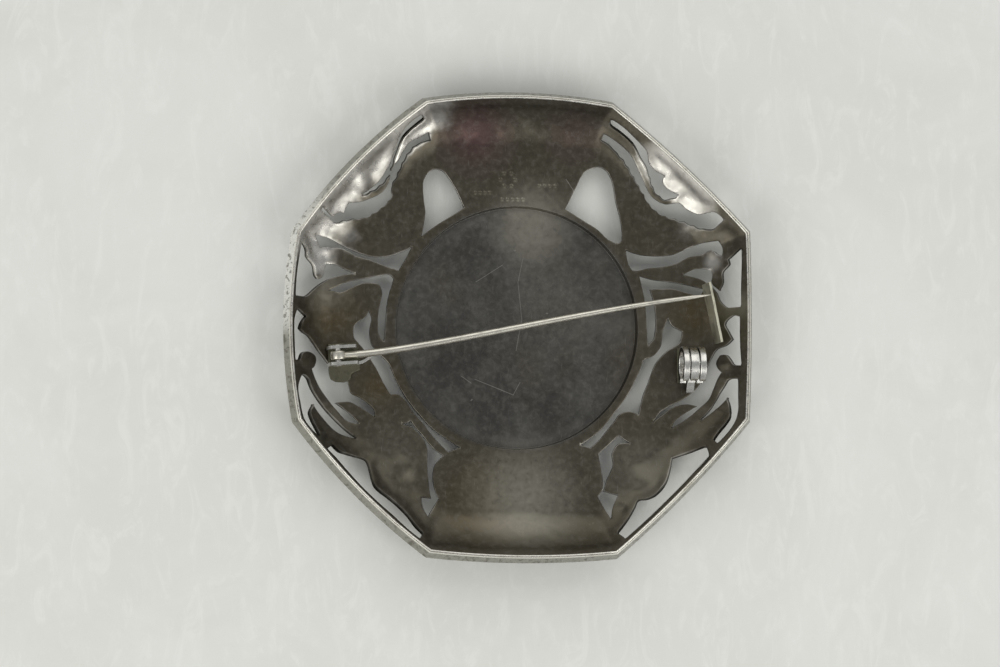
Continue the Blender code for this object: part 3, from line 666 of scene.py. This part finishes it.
def openwork_plate():
    """The pierced sheet: its outlines from the CAD, its heights from the formulas above."""
    spacing = quick(0.30)
    edge_spacing = quick(0.22)
    outer, *holes = plan_loops("openwork_plate")
    outer = anticlockwise(smooth_loop(outer, edge_spacing, 30.0))
    holes = [cleared(anticlockwise(smooth_loop(loop, edge_spacing))) for loop in holes]
    flat = []
    loops = []
    for loop in [outer, *holes]:
        loops.append(list(range(len(flat), len(flat) + len(loop))))
        flat.extend(map(tuple, loop))
    tree = tree_of(flat)
    flat_points = [Vector(point) for point in flat + inner_points(outer, holes, tree, spacing)]
    points, _, faces, _, _, owners = delaunay_2d_cdt(flat_points, [], loops, 0, 1e-6)
    faces = [face for face, owner in zip(faces, owners) if owner == [0]]
    used = sorted({index for face in faces for index in face})
    number = {old: new for new, old in enumerate(used)}
    faces = [tuple(number[index] for index in face) for face in faces]
    plan = np.array([(points[index].x, points[index].y) for index in used])
    gap = np.array([tree.find((x, y, 0.0))[2] for x, y in plan])
    edge = distance_to(BORDER_EDGE, plan)
    back = back_height(plan) + relief(plan)
    inside = np.maximum(0.0, ROUNDING - gap)
    round_off = ROUNDING - np.sqrt(np.maximum(0.0, ROUNDING**2 - inside**2))
    thickness = front_thickness(plan, gap)
    lean = dish_lean(plan)
    shift = wall_lean(plan, gap) / 2
    top_plan, low_plan = plan - shift, plan + shift
    top = back - round_off * 0.8
    bottom = back - thickness / np.sqrt(1 + (lean**2).sum(axis=1)) + round_off * 0.5
    bottom = np.maximum(bottom, -CREST)
    count = len(plan)
    solid = [(x, y, z + CREST) for (x, y), z in zip(top_plan, top)]
    solid += [(x, y, z + CREST) for (x, y), z in zip(low_plan, bottom)]
    piece = make_piece("plate_openwork", solid, sheet_faces(faces, count), PLATE, 50.0)
    paint_plate(piece, plan, gap, edge)
    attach(piece, ROOT)
    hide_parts("openwork_plate")


def paint(piece, name, values):
    """A number for each point of a mesh, which its material reads."""
    layer = piece.data.attributes.new(name, "FLOAT", "POINT")
    layer.data.foreach_set("value", np.asarray(values, np.float32))


# ---------------------------------------------------------------- the border strip


def rim_strip():
    """A strip round the sheet: a leaning wall with a rounded top and the ledge that the sheet sits on."""
    section = [
        (-0.20, -1.87), (-0.18, -1.80), (0.05, -1.05), (0.24, -0.28), (0.285, -0.10), (0.33, -0.02),
        (0.36, 0.0), (0.39, -0.02), (0.41, -0.07), (0.43, -0.07), (0.45, -0.03), (0.50, 0.0), (0.56, -0.02),
        (0.61, -0.07), (0.63, -0.15), (0.61, -0.40), (0.42, -0.45), (0.42, -1.28), (0.80, -1.28), (0.80, -1.82),
        (0.76, -1.87),
    ]
    steps = quick(26)
    rings, crest, painted_reflection = [], [], []
    for inset, height in section:
        ring = border(inset, steps)
        turn = np.degrees(np.arctan2(ring[:, 1], ring[:, 0])) % 360.0
        # Painted reflection on the wall's left side.
        painted_reflection.append(smooth_step(140.0, 156.0, turn) * (1 - smooth_step(178.0, 184.0, turn)))
        crest.append(np.full(len(ring), float(height > -0.12 and abs(inset - 0.42) > 0.015)))
        wave = 0.03 * ripple(ring, 0.35, 2.0) + 0.012 * ripple(ring, 1.7, 4.0)
        lift = np.clip(-wave, -0.05, 0.0) if height > -0.3 else np.zeros(len(ring))
        rings += [(x, y, height + CREST + rise) for (x, y), rise in zip(ring, lift)]
    faces = ring_faces(len(section), steps * len(BORDER_CORNERS), True)
    piece = make_piece("rim_strip", rings, faces, RIM, 50.0)
    paint(piece, "crest", np.concatenate(crest))
    paint(piece, "painted_reflection", np.concatenate(painted_reflection))
    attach(piece, ROOT)
    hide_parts("rim_frame")


# ---------------------------------------------------------------- fittings

HINGE_PLACE = (-18.9, -3.15, CREST - 0.6)
HINGE_YAW = math.radians(4.0)
WIRE_PITCH = math.radians(3.8)
RIVET_HOLE = 0.38
EAR_OFFSET = 0.85
PAD_TOP = CREST - DISH_DEPTH + 0.37


def extruded(outline, holes, low, high):
    """The points and faces of a flat plate with square edges, from its outline and its holes."""
    loops = []
    flat = []
    for loop in [outline, *holes]:
        loop = anticlockwise(np.array(loop))
        loops.append(list(range(len(flat), len(flat) + len(loop))))
        flat.extend(Vector(point) for point in loop)
    points, _, faces, _, _, owners = delaunay_2d_cdt(flat, [], loops, 0, 1e-6)
    faces = [face for face, owner in zip(faces, owners) if owner == [0]]
    count = len(points)
    solid = [(p.x, p.y, high) for p in points] + [(p.x, p.y, low) for p in points]
    return solid, sheet_faces(faces, count)


def placed(points, matrix):
    return [tuple(matrix @ Vector(point)) for point in points]


HINGE_FRAME = Matrix.Translation(HINGE_PLACE) @ Matrix.Rotation(HINGE_YAW, 4, "Z")


def hinge_ear(name, node, side, front, lip):
    """A cheek of the hinge, on either side of the pin, one of them with a lip that curls inwards."""
    foot = PAD_TOP - HINGE_PLACE[2] - 0.05
    outline = [(-0.95, foot)]
    if lip:
        along = np.linspace(front, 3.6, 14)
        outline += [(x, foot) for x in along]
        outline += [(x, -0.55) for x in along[::-1]]
    else:
        outline += [(front, foot)]
    outline += arc(0.35, 0.0, math.pi / 2, 10, (front - 0.35, 0.60))
    outline += arc(0.35, math.pi / 2, math.pi, 10, (-0.60, 0.60))
    points, faces = extruded(outline, [circle(RIVET_HOLE, 32)], -0.16, 0.16)
    turned = []
    for x, y, z in points:
        curl = 0.75 * max(0.0, (x - front) / (3.6 - front)) ** 2
        turned.append((x, -z + side * EAR_OFFSET + curl, y))
    piece = make_piece(name, placed(turned, HINGE_FRAME), faces, FITTING)
    add_bevel(piece, 0.05, 3)
    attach(piece, ROOT)
    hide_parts(node)


def lathe(profile, steps):
    """A profile of (radius, along) pairs turned about Y, closed to a point at its ends if they are at 0."""
    points = []
    for radius, along in profile:
        points += [(x, along, y) for x, y in circle(radius, steps)]
    faces = ring_faces(len(profile), steps, False)
    faces.append(tuple(range(steps)))
    last = (len(profile) - 1) * steps
    faces.append(tuple(range(last + steps - 1, last - 1, -1)))
    return points, faces


def hinge_rivet():
    end = EAR_OFFSET + 0.16 + 0.02
    head = [(0.50 * math.cos(a), end + 0.13 * math.sin(a)) for a in np.radians([0, 15, 30, 45, 60, 72, 84])]
    half = [(0.30, 0.0), (0.30, end)] + head
    profile = [(radius, -along) for radius, along in reversed(half[1:])] + half[1:]
    points, faces = lathe(profile, 28)
    piece = make_piece("rivet", placed(points, HINGE_FRAME), faces, FITTING, 40.0)
    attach(piece, ROOT)
    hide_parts("hinge_rivet")


def box(low, high):
    points = [(x, y, z) for z in (low[2], high[2]) for y in (low[1], high[1]) for x in (low[0], high[0])]
    return points, [(0, 2, 3, 1), (4, 5, 7, 6), (0, 1, 5, 4), (2, 6, 7, 3), (0, 4, 6, 2), (1, 3, 7, 5)]


def pads():
    """The lumps of solder under the hinge and under the catch."""
    low = CREST - DISH_DEPTH - 0.1 - HINGE_PLACE[2]
    outline = [
        (-0.75, 1.35), (-0.85, -1.7), (-0.7, -2.3), (-0.2, -2.6), (0.7, -2.7),
        (1.3, -2.45), (1.5, -1.85), (2.4, -1.5), (2.4, 1.35),
    ]
    points, faces = extruded(outline, [], low, PAD_TOP - HINGE_PLACE[2])
    piece = make_piece("hinge_pad", placed(points, HINGE_FRAME), faces, SOLDER)
    add_bevel(piece, 0.08, 3)
    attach(piece, ROOT)
    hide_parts("hinge_base")
    points, faces = box((16.7, -5.6, CREST - DISH_DEPTH - 0.1), (19.2, -2.0, CREST - 2.64))
    piece = make_piece("catch_pad", points, faces, SOLDER)
    add_bevel(piece, 0.08, 3)
    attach(piece, ROOT)
    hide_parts("catch_base")


WIRE_PATH = [
    (-16.45, -2.97), (-15.0, -2.78), (-12.0, -2.36), (-8.7, -1.76), (-4.0, -0.86),
    (-0.1, -0.10), (6.3, 1.16), (12.5, 2.25), (17.6, 3.03), (19.4, 3.27),
]
WIRE_RADII = [0.37, 0.37, 0.37, 0.36, 0.35, 0.34, 0.31, 0.27, 0.20, 0.04]


def pin_wire():
    """The eye round the rivet and the tapered wire that leaves it, as one piece that bends at its root."""
    start = (HINGE_PLACE[0] + 0.45, HINGE_PLACE[1] + 0.03)
    plan = np.array([start, (-17.5, -3.05)] + WIRE_PATH)
    radii = np.array([0.36, 0.37] + WIRE_RADII)
    fine = np.linspace(0, len(plan) - 1, quick(110))
    keys = np.arange(len(plan))
    x = np.interp(fine, keys, plan[:, 0])
    order = np.argsort(plan[:, 0])
    curve = np.polynomial.Polynomial.fit(plan[order, 0], plan[order, 1], 6)
    y = curve(x)
    radius = np.interp(fine, keys, radii)
    z = HINGE_PLACE[2] + (x - HINGE_PLACE[0]) * math.tan(WIRE_PITCH)
    middles = [Vector(point) for point in zip(x, y, z)]
    sides = 20
    points = []
    for index, (middle, size) in enumerate(zip(middles, radius)):
        along = (middles[min(len(middles) - 1, index + 1)] - middles[max(0, index - 1)]).normalized()
        across = Vector((0, 0, 1)).cross(along).normalized()
        up = along.cross(across)
        points += [tuple(middle + across * p[0] + up * p[1]) for p in circle(float(size), sides)]
    faces = []
    for row in range(len(middles) - 1):
        for here in range(sides):
            there = (here + 1) % sides
            low, high = row * sides, (row + 1) * sides
            faces.append((low + here, low + there, high + there, high + here))
    faces.append(tuple(range(sides - 1, -1, -1)))
    last = (len(middles) - 1) * sides
    faces.append(tuple(range(last, last + sides)))
    tube = [
        (0.66, -0.45), (0.76, -0.38), (0.78, -0.3), (0.78, 0.3), (0.76, 0.38),
        (0.66, 0.45), (0.42, 0.45), (0.38, 0.40), (0.38, -0.40), (0.42, -0.45),
    ]
    steps = 36
    base = len(points)
    eye = []
    for size, along in tube:
        eye += [(px, along, py) for px, py in circle(size, steps)]
    points += placed(eye, HINGE_FRAME)
    faces += ring_faces(len(tube), steps, True, base)
    piece = make_piece("pin_wire", points, faces, WIRE, 50.0)
    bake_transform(piece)
    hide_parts("pin_head", "pin_stem")


CATCH_MIDDLE = (-3.9, CREST - 0.65)
CATCH_BORE = 1.4
TAB_HALF_WIDTH = 0.16
TAB_REACH = 3.05


def catch_hook(name, node, body, span, outer, tab):
    """One C-shaped hook of the catch, with rounded edges, its flat sides painted near black as the shade in the
    gaps between the hooks.
    """
    start, end = math.pi + math.radians(20.0), math.pi - math.radians(30.0) + math.tau
    outline = []
    if tab:
        root = math.pi + math.radians(31.0)
        spread = TAB_HALF_WIDTH / outer
        towards = Vector((math.cos(root), math.sin(root)))
        outline += arc(outer, start, root - spread, 3)
        tip = towards * TAB_REACH
        heading = math.atan2(towards.y, towards.x)
        outline += arc(TAB_HALF_WIDTH, heading - math.pi / 2, heading + math.pi / 2, 8, tuple(tip))
        outline += arc(outer, root + spread, end, 60)
    else:
        outline += arc(outer, start, end, 64)
    outline += arc(CATCH_BORE, end, start, 56)
    half, middle = (span[1] - span[0]) / 2, (span[0] + span[1]) / 2
    points, faces = extruded(outline, [], -half, half)
    points = [(z + middle, x + CATCH_MIDDLE[0], y + CATCH_MIDDLE[1]) for x, y, z in points]
    piece = make_piece(name, points, faces, FITTING)
    # Painted shade: the flat sides, which face the gaps between the hooks, take the dark material.
    piece.data.materials.append(GAP_SHADE)
    for face in piece.data.polygons:
        face.material_index = int(abs(face.normal.x) > 0.9)
    add_bevel(piece, 0.07, 3, 50.0).modifiers["edges"].material = 0
    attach(piece, body)
    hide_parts(node)


def guard_strip():
    """The upright strip beside the pin's point, with its foot on the dished sheet."""
    start, end = np.array((19.38, 4.65)), np.array((20.65, -1.55))
    along = (end - start) / np.hypot(*(end - start))
    across = np.array((-along[1], along[0]))
    steps = 40
    plan = [start + (end - start) * step / steps for step in range(steps + 1)]
    foot = back_height(np.array([point + across * 0.13 for point in plan])) - 0.15
    levels = 10
    points = []
    for index, point in enumerate(plan):
        for side in (0.0, 0.26):
            for level in range(levels + 1):
                part = level / levels
                z = foot[index] + (1.0 - foot[index]) * part
                wave = 0.03 * noise.noise(Vector((index * 0.12, part * 2.0, 7.0)))
                points.append((*(point + across * (side + wave)), z + CREST))
    row = levels + 1
    faces = []
    for index in range(steps):
        here, there = index * 2 * row, (index + 1) * 2 * row
        for level in range(levels):
            a, b = here + level, there + level
            faces.append((a, a + 1, b + 1, b))
            c, d = here + row + level, there + row + level
            faces.append((c, d, d + 1, c + 1))
        faces.append((here + levels, here + row + levels, there + row + levels, there + levels))
        faces.append((here, there, there + row, here + row))
    faces.append(tuple(range(row))[::-1] + tuple(range(row, 2 * row)))
    last = steps * 2 * row
    faces.append(tuple(range(last, last + row)) + tuple(range(last + row, last + 2 * row))[::-1])
    piece = make_piece("guard_plate", points, faces, GUARD)
    add_bevel(piece, 0.05, 3)
    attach(piece, ROOT)
    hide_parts("guard_strip")


# ---------------------------------------------------------------- the set


def lay_floor():
    """Pale fibrous paper, just under the brooch so that the two never share a plane."""
    mesh = bpy.data.meshes.new("floor")
    half = 1.5
    low = -0.02 * MM
    corners = [(-half, -half, low), (half, -half, low), (half, half, low), (-half, half, low)]
    mesh.from_pydata(corners, [], [(0, 1, 2, 3)])
    floor = bpy.data.objects.new("floor", mesh)
    bpy.context.scene.collection.objects.link(floor)
    material, tree, shader = new_material("floor_paper")
    where = object_coordinates(tree)
    cloud = add_noise(tree, where, 45.0, 5.0, 0.65, 0.8)
    fibre = add_noise(tree, stretch(tree, where, (1.0, 0.35, 1.0), (0.0, 0.0, 0.3)), 420.0, 5.0, 0.7, 1.5)
    paper = mix_colour(tree, remap(tree, cloud, 0.35, 0.65), (0.82, 0.83, 0.79), (0.87, 0.875, 0.85))
    paper = mix_colour(tree, remap(tree, fibre, 0.48, 0.68, 0.0, 0.6), paper, (0.92, 0.92, 0.90))
    tree.links.new(paper, shader.inputs["Base Color"])
    shader.inputs["Roughness"].default_value = 0.9
    shader.inputs["Specular IOR Level"].default_value = 0.1
    mesh.materials.append(material)


def add_light(name, place, size, power, colour=(1.0, 1.0, 1.0)):
    """A square soft light that faces the brooch. Places and sizes are in metres here."""
    data = bpy.data.lights.new(name, "AREA")
    data.shape = "RECTANGLE"
    data.size, data.size_y = size
    data.energy = power
    data.color = colour
    light = bpy.data.objects.new(name, data)
    light.location = place
    light.rotation_euler = (-Vector(place)).to_track_quat("-Z", "Y").to_euler()
    bpy.context.scene.collection.objects.link(light)


def set_camera():
    """The camera looks down on the brooch, a little from its left and from below."""
    back = Vector((-0.139, -0.063, 0.988)).normalized()
    aim = Vector((-2.25, -0.79, CREST)) * MM
    data = bpy.data.cameras.new("camera")
    data.lens = 180.0
    data.sensor_width = 36.0
    frame_width = 102.8
    camera = bpy.data.objects.new("camera", data)
    camera.location = aim + back * frame_width * MM * data.lens / data.sensor_width
    right = Vector((0, 1, 0)).cross(back).normalized()
    camera.rotation_euler = Matrix((right, back.cross(right), back)).transposed().to_euler()
    data.clip_start = 0.01
    data.clip_end = 10.0
    bpy.context.scene.collection.objects.link(camera)
    bpy.context.scene.camera = camera


def set_world(colour, strength):
    world = bpy.data.worlds.new("surroundings")
    world.use_nodes = True
    shader = world.node_tree.nodes["Background"]
    shader.inputs["Color"].default_value = (*colour, 1.0)
    shader.inputs["Strength"].default_value = strength
    bpy.context.scene.world = world


openwork_plate()
rim_strip()
pads()
hinge_ear("hinge_cheek_upper", "hinge_ear_upper", 1, 1.9, False)
hinge_ear("hinge_cheek_lower", "hinge_ear_lower", -1, 2.0, True)
hinge_rivet()
pin_wire()
catch_hook("catch_hook_left", "catch_wall_left", ROOT, (16.78, 17.38), 1.95, False)
catch_hook("catch_hook_right", "catch_wall_right", ROOT, (18.50, 19.14), 1.95, False)
catch_hook("catch_turning_hook", "catch_roller", "roller", (17.54, 18.34), 1.85, True)
guard_strip()

lay_floor()
bpy.context.scene.view_settings.view_transform = "Standard"
set_world((0.98, 0.99, 1.0), 0.30)
add_light("key_right", (0.38, -0.30, 0.40), (0.42, 0.42), 1.25, (1.0, 0.99, 0.95))
add_light("key_left", (-0.38, -0.30, 0.40), (0.42, 0.42), 1.25, (1.0, 0.99, 0.95))
add_light("fill_far", (0.0, 0.52, 0.46), (1.10, 0.60), 1.80, (1.0, 0.99, 0.95))
set_camera()
